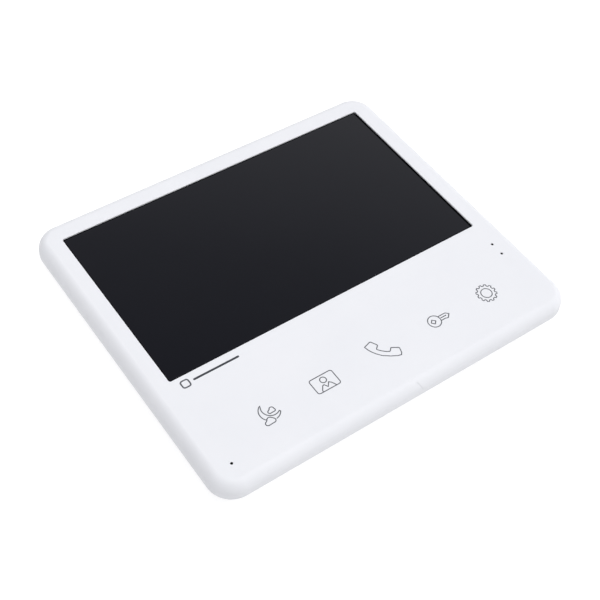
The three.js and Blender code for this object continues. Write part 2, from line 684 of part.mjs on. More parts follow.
addPart('main_board', mainBoard(), BOARD_GREEN);
addPart('processor', chip(15, 15, 7.9, 9.1, -25, 30), CHIP_BLACK);
addPart('memory_chip', chip(9, 13, 7.9, 8.9, -3, 31), CHIP_BLACK);
addPart('video_decoder', chip(9, 9, 7.9, 8.8, 20, 34), CHIP_BLACK);
addPart('ribbon_connector', chip(28, 4, 7.9, 9, 10, -6), SOCKET_CREAM);
for (const [number, y] of [[1, 20], [2, 8]]) {
  addPart(`power_inductor_${number}`, chip(6.6, 6.6, 3.5, 6.1, -48, y), CHIP_BLACK);
  addPart(`power_capacitor_${number}`, chip(7.3, 4.3, 3.6, 6.1, 48, y), FILM_AMBER);
}

const sockets = [
  ['door_socket_1', FOUR_PIN_WIDTH], ['door_socket_2', FOUR_PIN_WIDTH],
  ['camera_socket_1', FOUR_PIN_WIDTH], ['camera_socket_2', FOUR_PIN_WIDTH],
  ['supply_socket', TWO_PIN_WIDTH],
];
const rowWidth = sockets.reduce((sum, [, width]) => sum + width, 0) + SOCKET.spacing * (sockets.length - 1);
let socketEdge = -rowWidth / 2;
for (const [name, width] of sockets) {
  addPart(name, socket(width), SOCKET_CREAM, { x: socketEdge + width / 2, y: SOCKET.mouthY });
  socketEdge += width + SOCKET.spacing;
}

addPart('touch_board', touchBoard(), BOARD_GREEN);
addPart('touch_chip', chip(6, 6, 9.9, 10.9, -13, KEY_Y), CHIP_BLACK);
for (const [key, x] of Object.entries(KEYS)) {
  addPart(`touch_pad_${key}`, disc(5, 12.3, 14.3, x, KEY_Y, 18), FOAM_BLACK);
}
const touchRoute = [[-57, 10.7], [-46, 10.7], [-33, 8.6], [-20, 8.2], [-17, 7.9]];
addPart('touch_ribbon', ribbon(touchRoute, 0.2, -26, 8), FILM_AMBER);

addPart('indicator_board', indicatorBoard(), BOARD_GREEN);
INDICATOR_YS.forEach((y, i) => {
  addPart(`indicator_led_${i + 1}`, indicatorLed(), LED_CLEAR, { x: INDICATOR_X, y });
});
addPart('card_socket', cardSocket(), TIN_SHEET);
addPart('memory_card', memoryCard(), CHIP_BLACK);
addPart('indicator_lead', wire([
  [70.8, -46, 8.4], [70.5, -44, 7.2], [70, -38, 6.6], [69.2, -29, 7.2], [67.5, -21, 8.4], [62, -17, 8.6],
], 0.6, 16), WIRE_BLACK);

addPart('microphone', microphoneCapsule(), TIN_SHEET, MICROPHONE);
addPart('microphone_boot', microphoneBoot(), RUBBER_BLACK, MICROPHONE);
addPart('microphone_lead', microphoneLead(), WIRE_BLACK);
addPart('speaker_basket', speakerBasket(), ZINC_STEEL, SPEAKER);
addPart('speaker_magnet', speakerMagnet(), SCREW_STEEL, SPEAKER);
addPart('speaker_cone', speakerCone(), CONE_PAPER, SPEAKER);
addPart('speaker_gasket', speakerGasket(), FOAM_BLACK, SPEAKER);
addPart('speaker_lead_red', speakerLead(37), WIRE_RED);
addPart('speaker_lead_black', speakerLead(43), WIRE_BLACK);

const screwSides = (x) => [-x, x];
addScrews('housing_screw', screwSides(HOUSING_SCREW_X), HOUSING_SCREW_YS, 2.15, 0, [2.9, 1.9, 1.2, 8.2]);
addScrews('board_screw', screwSides(BOARD_SCREW_X), BOARD_SCREW_YS, 7.9, Math.PI, [2.3, 1.3, 1, 4.6]);
addScrews('touch_screw', TOUCH_SCREW_XS, [KEY_Y], 10.9, 0, [1.8, 1.1, 0.75, 2.8]);

export default monitor;
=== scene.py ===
"""The looks of the video intercom monitor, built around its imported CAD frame.

Shapes are worked out in millimetres in the frame's own axes and scaled to metres when a mesh is made.
"""

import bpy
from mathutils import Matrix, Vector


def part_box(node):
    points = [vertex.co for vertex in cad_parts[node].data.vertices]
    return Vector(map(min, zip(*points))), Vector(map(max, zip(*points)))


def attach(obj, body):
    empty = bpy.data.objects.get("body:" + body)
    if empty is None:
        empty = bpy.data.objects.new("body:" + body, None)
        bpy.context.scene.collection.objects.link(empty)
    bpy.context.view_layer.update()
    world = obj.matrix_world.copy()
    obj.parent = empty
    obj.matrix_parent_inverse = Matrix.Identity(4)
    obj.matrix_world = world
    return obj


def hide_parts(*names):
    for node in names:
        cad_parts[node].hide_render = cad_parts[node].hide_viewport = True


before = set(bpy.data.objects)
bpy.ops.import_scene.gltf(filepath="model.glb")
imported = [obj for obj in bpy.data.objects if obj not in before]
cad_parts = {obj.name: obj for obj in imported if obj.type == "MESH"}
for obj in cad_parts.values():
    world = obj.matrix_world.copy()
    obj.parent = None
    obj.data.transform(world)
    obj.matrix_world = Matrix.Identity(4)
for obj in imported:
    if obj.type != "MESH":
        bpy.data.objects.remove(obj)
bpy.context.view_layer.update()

import math
from collections import namedtuple

import bmesh
import bpy
from mathutils import Matrix, Vector

MM = 0.001
SHARP_ANGLE = math.radians(35)


def cad_box(node):
    """Lowest and highest corner of a CAD node, in millimetres."""
    low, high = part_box(node)
    return [c / MM for c in low], [c / MM for c in high]


# ---- Driving dimensions, in millimetres ----

SHELL_MIN, SHELL_MAX = cad_box("front_shell")
BODY_WIDTH = SHELL_MAX[0] - SHELL_MIN[0]
BODY_HEIGHT = SHELL_MAX[1] - SHELL_MIN[1]
BODY_TOP = SHELL_MAX[2]
INK = 0.02
FACE_Z = BODY_TOP - INK
SHELL_LOW = 6.6
CORNER_RADIUS = 10.8
FRONT_EDGE = 4.4
FRONT_ROLL = 5.8
LOWER_EDGE = 2.1
SIDE_WALL = 2.4
FACE_SKIN = 2.0
INNER_Z = BODY_TOP - FACE_SKIN

WINDOW = {"width": 155.6, "height": 87.3, "radius": 0.8, "y": 21.7}
RIM_Z = BODY_TOP - 0.8
RIM_WIDTH = 2.4

LENS_STEP_Z = 15.5
MARGIN_SINK = 0.3
# Margin widths left, right, bottom, top; the wide right and top margins are painted shade of the gap
# under the window's rim.
MARGINS_AND_GAP_SHADE = (0.15, 1.1, 0.15, 0.65)

KEY_Y = -54.85
KEY_STROKE = 0.4
MICROPHONE = (-77.5, -65.4)
INDICATORS = ((77.7, -34.9), (77.7, -41.2))
HOLE_RADIUS = 0.6

TOUCH_ROW_Y = -54.8
PEG_X, PEG_YS = 73, (-33.5, -61.5)
DISPLAY_RIB_YS = (-10, 20, 50)
LATCH_XS = (-55, 0, 55)
HOUSING_SCREWS = [(x, y) for x in (-66, 66) for y in (-61, -36)]
BOARD_SCREWS = [(x, y) for x in (-59.5, 59.5) for y in (44, -14)]
TOUCH_SCREWS = [(x, TOUCH_ROW_Y) for x in (-40.3, 44.2)]
HOOKS = [(x, y) for x in (-50, 50) for y in (46, -14)]
WALL_SLOTS = [(x, y) for x in (-30, 30) for y in (48, -12)]
HOOK_SLOT_WIDTH = 9.2
LIFT_TRAVEL = 6.5
SPEAKER = (40, -48.3)


# ---- Mesh building ----

Ring = namedtuple("Ring", "width height radius z fillet x y")


def ring(width, height, radius, z, fillet=0.0, x=0.0, y=0.0):
    return Ring(width, height, radius, z, fillet, x, y)


def body_ring(inset, z, fillet=0.0):
    """A level of the housing, set in from its outline."""
    return ring(BODY_WIDTH - 2 * inset, BODY_HEIGHT - 2 * inset, CORNER_RADIUS - inset, z, fillet)


def offset_ring(base, outward, z):
    radius = max(base.radius + outward, 0.05)
    return base._replace(
        width=base.width + 2 * outward, height=base.height + 2 * outward, radius=radius, z=z, fillet=0.0
    )


def rounded_corner(base, wall, flat):
    """The arc that eases the corner between a wall and a flat, from the wall's side."""
    outward = 1 if flat.width > base.width else -1
    upward = 1 if wall.z > base.z else -1
    steps = 3 if base.fillet < 1 else 6 if base.fillet < 3 else 12
    arc = []
    for step in range(steps + 1):
        angle = step / steps * math.pi / 2
        across = outward * base.fillet * (1 - math.cos(angle))
        along = upward * base.fillet * (1 - math.sin(angle))
        arc.append(offset_ring(base, across, base.z + along))
    return arc


def eased(rings):
    """Rings of a closed section, with every corner that has a fillet turned into its arc."""
    result = []
    for i, here in enumerate(rings):
        before, after = rings[i - 1], rings[(i + 1) % len(rings)]
        if here.fillet == 0:
            result.append(here)
        elif abs(before.z - here.z) > 1e-6:
            result.extend(rounded_corner(here, before, after))
        else:
            result.extend(reversed(rounded_corner(here, after, before)))
    return result


def outline(r, steps):
    """The points of a rounded rectangle, anticlockwise."""
    points = []
    for corner in range(4):
        side_x = 1 if corner in (0, 3) else -1
        side_y = 1 if corner < 2 else -1
        for step in range(steps + 1):
            angle = (corner + step / steps) * math.pi / 2
            x = r.x + side_x * (r.width / 2 - r.radius) + r.radius * math.cos(angle)
            y = r.y + side_y * (r.height / 2 - r.radius) + r.radius * math.sin(angle)
            points.append((x, y, r.z))
    return points


def add_loft(bm, loops, closed):
    """Bridges loops of points into a skin; an open skin is capped at both ends."""
    rows = [[bm.verts.new([c * MM for c in point]) for point in loop] for loop in loops]
    pairs = list(zip(rows, rows[1:]))
    if closed:
        pairs.append((rows[-1], rows[0]))
    for low, high in pairs:
        for i in range(len(low)):
            j = (i + 1) % len(low)
            bm.faces.new((low[i], low[j], high[j], high[i]))
    if not closed:
        bm.faces.new(list(reversed(rows[0])))
        bm.faces.new(rows[-1])


def add_block(bm, size, centre, bevel=0.0):
    """A box of that size, with eased edges."""
    made = bmesh.ops.create_cube(bm, size=1)
    verts = made["verts"]
    for v in verts:
        v.co = Vector([(v.co[k] * size[k] + centre[k]) * MM for k in range(3)])
    if bevel:
        edges = {e for v in verts for e in v.link_edges}
        ease_edges(bm, list(edges), bevel)


def ease_edges(bm, edges, bevel):
    bmesh.ops.bevel(bm, geom=edges, offset=bevel * MM, segments=2, affect="EDGES", profile=0.5)


def add_disc(bm, radius, low, high, x, y, ease, sides=40):
    """An upright round boss, its ends eased."""
    section = [(0, low), (radius - ease, low), (radius, low + ease),
               (radius, high - ease), (radius - ease, high), (0, high)]
    add_turned(bm, section, x, y, sides)


def add_turned(bm, section, x=0.0, y=0.0, sides=48):
    """A turned body from the corners of its half section: from the axis back to it, or a ring."""
    on_axis = section[0][0] == 0
    turns = [2 * math.pi * i / sides for i in range(sides)]
    loops = []
    for radius, z in section[1:-1] if on_axis else section:
        loops.append([(x + radius * math.cos(a), y + radius * math.sin(a), z) for a in turns])
    add_loft(bm, loops, closed=not on_axis)


def add_post(bm, place, bore, tip, root, tip_z, root_z, sides):
    """A hollow round post; bore, tip and root are radii."""
    section = [(bore, tip_z), (tip, tip_z), (root, root_z), (bore, root_z)]
    add_turned(bm, section, *place, sides)


def make_object(name, bm):
    """A mesh object with its faces pointing out, smoothed except at its sharp edges."""
    bmesh.ops.remove_doubles(bm, verts=bm.verts, dist=1e-7)
    bmesh.ops.recalc_face_normals(bm, faces=bm.faces)
    mesh = bpy.data.meshes.new(name)
    bm.to_mesh(mesh)
    bm.free()
    obj = bpy.data.objects.new(name, mesh)
    bpy.context.scene.collection.objects.link(obj)
    soften(obj)
    return obj


def soften(obj):
    """Smooth shading except where faces turn by more than the sharp angle."""
    mesh = obj.data
    mesh.polygons.foreach_set("use_smooth", [True] * len(mesh.polygons))
    mesh.set_sharp_from_angle(angle=SHARP_ANGLE)


def weight_normals(obj):
    """Keeps big flats flat where they run into a rounded edge."""
    modifier = obj.modifiers.new("weighted", "WEIGHTED_NORMAL")
    modifier.keep_sharp = True
    modifier.weight = 60


def combine(target, tool, operation):
    """Cuts a tool out of a mesh, or joins it on, and drops the tool."""
    modifier = target.modifiers.new("combine", "BOOLEAN")
    modifier.operation = operation
    modifier.solver = "EXACT"
    modifier.use_self = True
    modifier.object = tool
    graph = bpy.context.evaluated_depsgraph_get()
    mesh = bpy.data.meshes.new_from_object(target.evaluated_get(graph))
    target.modifiers.clear()
    old = target.data
    target.data = mesh
    bpy.data.meshes.remove(old)
    bpy.data.objects.remove(tool)


def cut(target, bm):
    combine(target, make_object("cutter", bm), "DIFFERENCE")


def join(target, bm):
    combine(target, make_object("addition", bm), "UNION")


def slot_loops(r, low, high, flare, steps=6):
    """A cutter for a slot with rounded ends, its mouth at the low end eased outward."""
    arc = [offset_ring(r, flare * 1.6, low - flare * 2)]
    ease_steps = 4
    for step in range(ease_steps + 1):
        angle = step / ease_steps * math.pi / 2
        arc.append(offset_ring(r, flare * (1 - math.sin(angle)), low + flare * (1 - math.cos(angle))))
    arc.append(offset_ring(r, 0, high))
    return [outline(level, steps) for level in arc]


# ---- Materials ----

NOISE_LOW, NOISE_HIGH = 0.3, 0.7


def new_material(name):
    material = bpy.data.materials.new(name)
    material.use_nodes = True
    nodes = material.node_tree.nodes
    return material, nodes, material.node_tree.links, nodes["Principled BSDF"]


def add_noise(nodes, links, scale, detail=3.0, roughness=0.55, stretch=None):
    """A noise texture in the frame's own metres, stretched along an axis if asked."""
    place = nodes.new("ShaderNodeTexCoord")
    mapping = nodes.new("ShaderNodeMapping")
    mapping.inputs["Scale"].default_value = stretch or (1, 1, 1)
    noise = nodes.new("ShaderNodeTexNoise")
    noise.inputs["Scale"].default_value = scale
    noise.inputs["Detail"].default_value = detail
    noise.inputs["Roughness"].default_value = roughness
    links.new(place.outputs["Object"], mapping.inputs["Vector"])
    links.new(mapping.outputs["Vector"], noise.inputs["Vector"])
    return noise.outputs["Fac"]


def add_range(nodes, links, value, low, high):
    """Maps the middle of a noise onto a range."""
    node = nodes.new("ShaderNodeMapRange")
    node.inputs["From Min"].default_value = NOISE_LOW
    node.inputs["From Max"].default_value = NOISE_HIGH
    node.inputs["To Min"].default_value = low
    node.inputs["To Max"].default_value = high
    links.new(value, node.inputs["Value"])
    return node.outputs["Result"]


def add_tint(nodes, links, value, dark, light):
    """Blends two colours by a noise."""
    ramp = nodes.new("ShaderNodeValToRGB")
    ramp.color_ramp.elements[0].position = NOISE_LOW
    ramp.color_ramp.elements[1].position = NOISE_HIGH
    ramp.color_ramp.elements[0].color = (*dark, 1)
    ramp.color_ramp.elements[1].color = (*light, 1)
    links.new(value, ramp.inputs["Fac"])
    return ramp.outputs["Color"]


def add_bump(nodes, links, shader, height, distance, strength=1.0):
    bump = nodes.new("ShaderNodeBump")
    bump.inputs["Distance"].default_value = distance
    bump.inputs["Strength"].default_value = strength
    links.new(height, bump.inputs["Height"])
    links.new(bump.outputs["Normal"], shader.inputs["Normal"])


def textured(name, dark, light, rough, grain=0.3, bump=4e-6, tone=25,
             metallic=0.0, stretch=None, coat=0.0):
    """A surface with a fine grain, and a slow drift of tone and gloss across it.

    grain and tone are the sizes of their features in millimetres, and bump is a height in metres.
    """
    material, nodes, links, shader = new_material(name)
    drift = add_noise(nodes, links, 1000 / tone, detail=4)
    fine = add_noise(nodes, links, 1000 / grain, detail=2, stretch=stretch)
    links.new(add_tint(nodes, links, drift, dark, light), shader.inputs["Base Color"])
    links.new(add_range(nodes, links, fine, *rough), shader.inputs["Roughness"])
    add_bump(nodes, links, shader, fine, bump)
    shader.inputs["Metallic"].default_value = metallic
    shader.inputs["Coat Weight"].default_value = coat
    shader.inputs["Coat Roughness"].default_value = 0.08
    return material


def polished(name, dark, light, rough, tone=30, coat=0.0):
    """A smooth glossy surface whose gloss drifts a little, as glass that has been wiped."""
    material, nodes, links, shader = new_material(name)
    drift = add_noise(nodes, links, 1000 / tone, detail=5, roughness=0.65)
    links.new(add_tint(nodes, links, drift, dark, light), shader.inputs["Base Color"])
    links.new(add_range(nodes, links, drift, *rough), shader.inputs["Roughness"])
    shader.inputs["Coat Weight"].default_value = coat
    shader.inputs["Coat Roughness"].default_value = 0.03
    return material


WHITE = textured(
    "white_plastic", (0.695, 0.703, 0.733), (0.71, 0.717, 0.745), (0.40, 0.50),
    grain=0.22, bump=3e-6,
)
WHITE_REAR = textured(
    "white_plastic_rear", (0.68, 0.688, 0.715), (0.70, 0.706, 0.732), (0.42, 0.58),
    grain=0.35, bump=1.4e-5,
)
SCREEN = polished(
    "screen_area", (0.0026, 0.0030, 0.0060), (0.0032, 0.0036, 0.0068), (0.05, 0.075),
)
# Matt near-black margin: the display's black border, and painted shade of the gap under the window's
# rim.
BORDER_AND_GAP_SHADE = polished(
    "screen_border_and_gap_shade", (0.0010, 0.0011, 0.0016), (0.0014, 0.0015, 0.0021), (0.75, 0.85),
)
INK_GREY = textured(
    "key_print", (0.070, 0.074, 0.086), (0.086, 0.090, 0.104), (0.45, 0.55),
    grain=0.1, bump=1e-6,
)
# Near-black smoked plastic: real light pipes, and painted shade where it fills the microphone hole.
SMOKED_AND_HOLE_SHADE = polished(
    "smoked_window_and_hole_shade", (0.006, 0.006, 0.007), (0.009, 0.009, 0.01), (0.12, 0.2),
    tone=2,
)
FOAM = textured(
    "black_foam", (0.012, 0.012, 0.013), (0.022, 0.022, 0.023), (0.85, 1.0),
    grain=0.25, bump=6e-5,
)
RUBBER = textured(
    "black_rubber", (0.014, 0.014, 0.015), (0.022, 0.022, 0.023), (0.6, 0.75),
    grain=0.3, bump=1e-5,
)
ZINC = textured(
    "zinc_steel", (0.50, 0.51, 0.53), (0.62, 0.63, 0.64), (0.24, 0.42),
    grain=0.8, bump=4e-6, tone=6, metallic=1.0, stretch=(0.08, 1, 1),
)
TIN = textured(
    "tin_sheet", (0.58, 0.59, 0.60), (0.66, 0.67, 0.68), (0.2, 0.34),
    grain=0.6, bump=3e-6, tone=9, metallic=1.0, stretch=(0.1, 1, 1),
)
SCREW = textured(
    "screw_steel", (0.36, 0.37, 0.38), (0.48, 0.49, 0.50), (0.26, 0.42),
    grain=0.25, bump=4e-6, tone=2, metallic=1.0,
)
GOLD = textured(
    "gold_contact", (0.80, 0.56, 0.24), (0.88, 0.64, 0.30), (0.18, 0.3),
    grain=0.2, bump=2e-6, tone=2, metallic=1.0,
)
CREAM = textured(
    "socket_cream", (0.74, 0.70, 0.58), (0.79, 0.75, 0.63), (0.4, 0.55),
    grain=0.3, bump=8e-6, tone=4,
)
CHIP = textured(
    "chip_black", (0.018, 0.018, 0.02), (0.028, 0.028, 0.03), (0.5, 0.7),
    grain=0.12, bump=1e-5, tone=3,
)
CARD = textured(
    "card_black", (0.012, 0.012, 0.013), (0.018, 0.018, 0.02), (0.35, 0.5),
    grain=0.15, bump=6e-6, tone=4,
)
AMBER = textured(
    "ribbon_film", (0.34, 0.15, 0.03), (0.45, 0.21, 0.05), (0.22, 0.34),
    grain=1.2, bump=6e-6, tone=6, stretch=(1, 0.02, 0.02), coat=0.4,
)
TANTALUM = textured(
    "capacitor_amber", (0.50, 0.30, 0.05), (0.60, 0.38, 0.08), (0.45, 0.6),
    grain=0.2, bump=8e-6, tone=3,
)
ACRYLIC = polished(
    "acrylic", (0.80, 0.82, 0.82), (0.86, 0.88, 0.88), (0.06, 0.12),
)
LED = polished(
    "led_clear", (0.66, 0.70, 0.70), (0.78, 0.81, 0.81), (0.06, 0.1),
    tone=2, coat=0.5,
)
CONE = textured(
    "cone_paper", (0.012, 0.012, 0.012), (0.03, 0.03, 0.03), (0.8, 0.95),
    grain=0.35, bump=5e-5, tone=3,
)
WIRE_BLACK = textured(
    "wire_black", (0.012, 0.012, 0.013), (0.02, 0.02, 0.021), (0.4, 0.5),
    grain=0.3, bump=6e-6,
)
WIRE_RED = textured(
    "wire_red", (0.42, 0.02, 0.012), (0.52, 0.03, 0.018), (0.4, 0.5),
    grain=0.3, bump=6e-6,
)
# The border's low specular level keeps it from reflecting, as part of its painted shade.
for material, sheen in ((WHITE, 0.3), (WHITE_REAR, 0.3), (BORDER_AND_GAP_SHADE, 0.05)):
    material.node_tree.nodes["Principled BSDF"].inputs["Specular IOR Level"].default_value = sheen


def board_material():
    """Green solder mask with lighter tracks under it and small plated spots."""
    material, nodes, links, shader = new_material("board_green")
    place = nodes.new("ShaderNodeTexCoord")
    tracks = nodes.new("ShaderNodeTexBrick")
    tracks.inputs["Scale"].default_value = 220
    tracks.inputs["Mortar Size"].default_value = 0.03
    tracks.inputs["Color1"].default_value = (0.010, 0.085, 0.032, 1)
    tracks.inputs["Color2"].default_value = (0.012, 0.095, 0.036, 1)
    tracks.inputs["Mortar"].default_value = (0.03, 0.17, 0.065, 1)
    cells = nodes.new("ShaderNodeTexVoronoi")
    cells.inputs["Scale"].default_value = 260
    spots = nodes.new("ShaderNodeMath")
    spots.operation = "LESS_THAN"
    spots.inputs[1].default_value = 0.11
    mix = nodes.new("ShaderNodeMix")
    mix.data_type = "RGBA"
    mix.inputs["B"].default_value = (0.50, 0.50, 0.46, 1)
    links.new(place.outputs["Object"], tracks.inputs["Vector"])
    links.new(place.outputs["Object"], cells.inputs["Vector"])
    links.new(cells.outputs["Distance"], spots.inputs[0])
    links.new(spots.outputs["Value"], mix.inputs["Factor"])
    links.new(tracks.outputs["Color"], mix.inputs["A"])
    links.new(mix.outputs["Result"], shader.inputs["Base Color"])
    add_bump(nodes, links, shader, tracks.outputs["Fac"], 1e-5)
    shader.inputs["Roughness"].default_value = 0.32
    return material


BOARD = board_material()


def finish_piece(obj, material, body, replaces=(), weighted=False):
    """Paints a piece and ties it to its CAD body."""
    if material:
        obj.data.materials.clear()
        obj.data.materials.append(material)
    if weighted:
        weight_normals(obj)
    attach(obj, body)
    if replaces:
        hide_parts(*replaces)
    return obj


# ---- Front shell ----

def front_roll(steps=14):
    """The shell's front edge: a quarter of an ellipse that rolls from the side into the face."""
    angles = [step / steps * math.pi / 2 for step in range(steps + 1)]
    return [
        body_ring(FRONT_EDGE * (1 - math.cos(a)), FACE_Z - FRONT_ROLL * (1 - math.sin(a)))
        for a in angles
    ]


def front_sections():
    """The shell's closed section: up its outside, over the rolled edge and in through the window."""
    opening = ring(WINDOW["width"], WINDOW["height"], WINDOW["radius"], FACE_Z, 0.35, y=WINDOW["y"])
    rebate = offset_ring(opening, RIM_WIDTH, RIM_Z)._replace(radius=1.5, fillet=0.1)
    return [
        body_ring(0, SHELL_LOW, LOWER_EDGE),
        *front_roll(),
        opening,
        opening._replace(z=RIM_Z, fillet=0.08),
        rebate,
        rebate._replace(z=INNER_Z, fillet=0.2),
        body_ring(SIDE_WALL, INNER_Z, 1.2),
        body_ring(SIDE_WALL, SHELL_LOW, 0.2),
    ]


def add_face_hole(bm, x, y):
    """A cutter for a small round hole with an eased mouth on the face."""
    lip = 0.1
    mouth = HOLE_RADIUS + lip
    section = [(0, INNER_Z - 1), (HOLE_RADIUS, INNER_Z - 1), (HOLE_RADIUS, FACE_Z - lip),
               (HOLE_RADIUS + 0.3 * lip, FACE_Z - 0.3 * lip), (mouth, FACE_Z),
               (mouth, FACE_Z + 1), (0, FACE_Z + 1)]
    add_turned(bm, section, x, y, sides=32)


def add_edge_notch(bm):
    """A fine slanting groove over the rolled lower edge, fading out down the side."""
    first_x, slant = 3.75, 2.6
    first_angle, sweep = 62, 57
    depth, lift = 0.2, 0.3
    mouth, root = Vector((0.22, 0, 0)), Vector((0.12, 0, 0))
    steps = 12
    loops = []
    for step in range(steps + 1):
        angle = math.radians(first_angle - sweep * step / steps)
        x = first_x + slant * step / steps
        out = Vector((0, -FRONT_ROLL * math.cos(angle), FRONT_EDGE * math.sin(angle))).normalized()
        surface = Vector((
            x, FRONT_EDGE - BODY_HEIGHT / 2 - FRONT_EDGE * math.cos(angle),
            FACE_Z - FRONT_ROLL * (1 - math.sin(angle)),
        ))
        fade = min(1, step) * (1 - 0.8 * step / steps)
        low, high = surface - out * depth * fade, surface + out * lift
        loops.append([high - mouth, high + mouth, low + root, low - root])
    add_loft(bm, loops, closed=False)


def add_card_slot(bm):
    """The mouth of the memory card slot in the right side."""
    low, high = cad_box("memory_card")
    y, z = (low[1] + high[1]) / 2, (low[2] + high[2]) / 2
    gap_y, gap_z = 0.6, 0.5
    section = ring(high[1] - low[1] + gap_y, high[2] - low[2] + gap_z, 0.3, 0)
    flat = slot_loops(section, -BODY_WIDTH / 2, -BODY_WIDTH / 2 + SIDE_WALL + 1, 0.22, steps=3)
    add_loft(bm, [[(-w, y + u, z + v) for u, v, w in loop] for loop in flat], closed=False)


def add_shell_fittings(bm):
    """Screw posts, heat-staked pegs, display ribs, latch catches and the microphone seat."""
    rooted = INNER_Z + 0.2
    for place in HOUSING_SCREWS:
        add_post(bm, place, bore=1.3, tip=3, root=3.25, tip_z=4.1, root_z=rooted, sides=32)
    for place in TOUCH_SCREWS:
        add_post(bm, place, bore=0.85, tip=2.4, root=2.5, tip_z=12.4, root_z=rooted, sides=24)
    add_post(bm, MICROPHONE, bore=4.9, tip=6.1, root=6.1, tip_z=11, root_z=rooted, sides=40)
    peg = [(0, 8.3), (1.4, 8.3), (2, 8.6), (2, 8.9), (1.2, 8.9), (1.2, 10.7),
           (2.2, 10.7), (2.2, rooted), (0, rooted)]
    for y in PEG_YS:
        add_turned(bm, peg, PEG_X, y, 24)
    rib_near, rib_far, rib_low = 82.8, BODY_WIDTH / 2 - SIDE_WALL + 0.2, 10
    rib_size = (rib_far - rib_near, 1.2, rooted - rib_low)
    for side in (-1, 1):
        for y in DISPLAY_RIB_YS:
            add_block(bm, rib_size, (side * (rib_near + rib_far) / 2, y, (rib_low + rooted) / 2))
    catch_size, catch_z = (14, 1.4, 1), 9.5
    for x in LATCH_XS:
        add_block(bm, catch_size, (x, BODY_HEIGHT / 2 - SIDE_WALL - 0.3, catch_z))


def front_shell():
    bm = bmesh.new()
    add_loft(bm, [outline(level, 14) for level in eased(front_sections())], closed=True)
    shell = make_object("housing_front", bm)
    fittings = bmesh.new()
    add_shell_fittings(fittings)
    join(shell, fittings)
    cutters = bmesh.new()
    for x, y in (MICROPHONE, *INDICATORS):
        add_face_hole(cutters, x, y)
    add_edge_notch(cutters)
    add_card_slot(cutters)
    cut(shell, cutters)
    soften(shell)
    finish_piece(shell, WHITE, "monitor", ["front_shell"], weighted=True)


# ---- Screen ----

def screen():
    """The stepped lens: a polished picture area with a sunk matt black margin round it. The margin is
    the display's black border and also painted shade of the gap under the window's rim, so it is wider
    on the right and top, where that shade shows from the camera.
    """
    low, high = cad_box("screen_lens")
    margin_z, ease, picture_ease = high[2] - MARGIN_SINK, 0.06, 0.05
    face = ring(WINDOW["width"] - 0.5, WINDOW["height"] - 0.5, 0.6, margin_z, y=WINDOW["y"])
    left, right, bottom, top = MARGINS_AND_GAP_SHADE
    picture = ring(
        face.width - left - right, face.height - bottom - top, 0.25, margin_z,
        x=(left - right) / 2, y=face.y + (bottom - top) / 2,
    )
    under = ring(high[0] - low[0], high[1] - low[1], 1.2, low[2], y=(low[1] + high[1]) / 2)
    levels = [
        under,
        under._replace(z=LENS_STEP_Z - 0.08),
        offset_ring(under, -0.08, LENS_STEP_Z),
        face._replace(z=LENS_STEP_Z),
        face._replace(z=margin_z - ease),
        offset_ring(face, -ease, margin_z),
        picture,
        picture._replace(z=high[2] - picture_ease),
        offset_ring(picture, -picture_ease, high[2]),
    ]
    bm = bmesh.new()
    add_loft(bm, [outline(level, 5) for level in levels], closed=False)
    lens = make_object("screen_sheet", bm)
    # The margin faces carry the painted gap shade; the picture faces get the screen material.
    finish_piece(lens, BORDER_AND_GAP_SHADE, "monitor", ["screen_lens"])
    lens.data.materials.append(SCREEN)
    for polygon in lens.data.polygons:
        if polygon.center.z > (high[2] - picture_ease) * MM:
            polygon.material_index = 1


# ---- Printed keys ----

def add_stroke(bm, points, width, closed=False):
    """A printed line of even width along flat points, as a thin solid on the face."""
    count = len(points)
    rows = []
    for i, (x, y) in enumerate(points):
        before = points[i - 1] if closed or i > 0 else None
        after = points[(i + 1) % count] if closed or i < count - 1 else None
        normals = []
        for start, end in ((before, (x, y)), ((x, y), after)):
            if start is None or end is None:
                continue
            dx, dy = end[0] - start[0], end[1] - start[1]
            length = math.hypot(dx, dy)
            normals.append((-dy / length, dx / length))
        nx = sum(n[0] for n in normals) / len(normals)
        ny = sum(n[1] for n in normals) / len(normals)
        stretch = 1 / max(nx * nx + ny * ny, 0.35)
        half = width / 2 * stretch
        left, right = (x + nx * half, y + ny * half), (x - nx * half, y - ny * half)
        base = FACE_Z - INK
        rows.append([(*left, BODY_TOP), (*left, base), (*right, base), (*right, BODY_TOP)])
    add_loft(bm, rows, closed)


def arc_points(x, y, radius, start, end, steps):
    """Points along an arc, its angles in degrees."""
    angles = [math.radians(start + (end - start) * i / steps) for i in range(steps + 1)]
    return [(x + radius * math.cos(a), y + radius * math.sin(a)) for a in angles]


def circle_points(x, y, radius, steps=40):
    return arc_points(x, y, radius, 0, 360, steps)[:-1]


def silence_key(bm, x, y, width):
    """A crescent moon behind one cloud, with a smaller cloud beside it."""
    moon, shade = (x + 0.64, y + 0.86, 4.32), (x + 1.78, y + 2.13, 3.77)
    crescent = [
        *arc_points(*moon, -84, -32, 10),
        *arc_points(*shade, 306, 152, 26),
        (x - 1.17, y + 4.76),
        *arc_points(*moon, 120, 219, 18),
    ]
    add_stroke(bm, crescent, width)
    cloud = [
        *arc_points(x - 3.0, y - 3.55, 0.95, 270, 100, 12),
        *arc_points(x - 1.4, y - 2.65, 1.27, 160, 52, 8),
        *arc_points(x - 0.4, y - 3.4, 1.0, 40, -90, 9),
    ]
    add_stroke(bm, cloud, width, closed=True)
    small = [
        *arc_points(x + 0.5, y + 0.45, 0.7, 270, 105, 10),
        *arc_points(x + 1.85, y + 1.2, 0.95, 160, 20, 12),
        *arc_points(x + 2.3, y + 0.45, 0.68, 35, -90, 9),
    ]
    add_stroke(bm, small, width, closed=True)


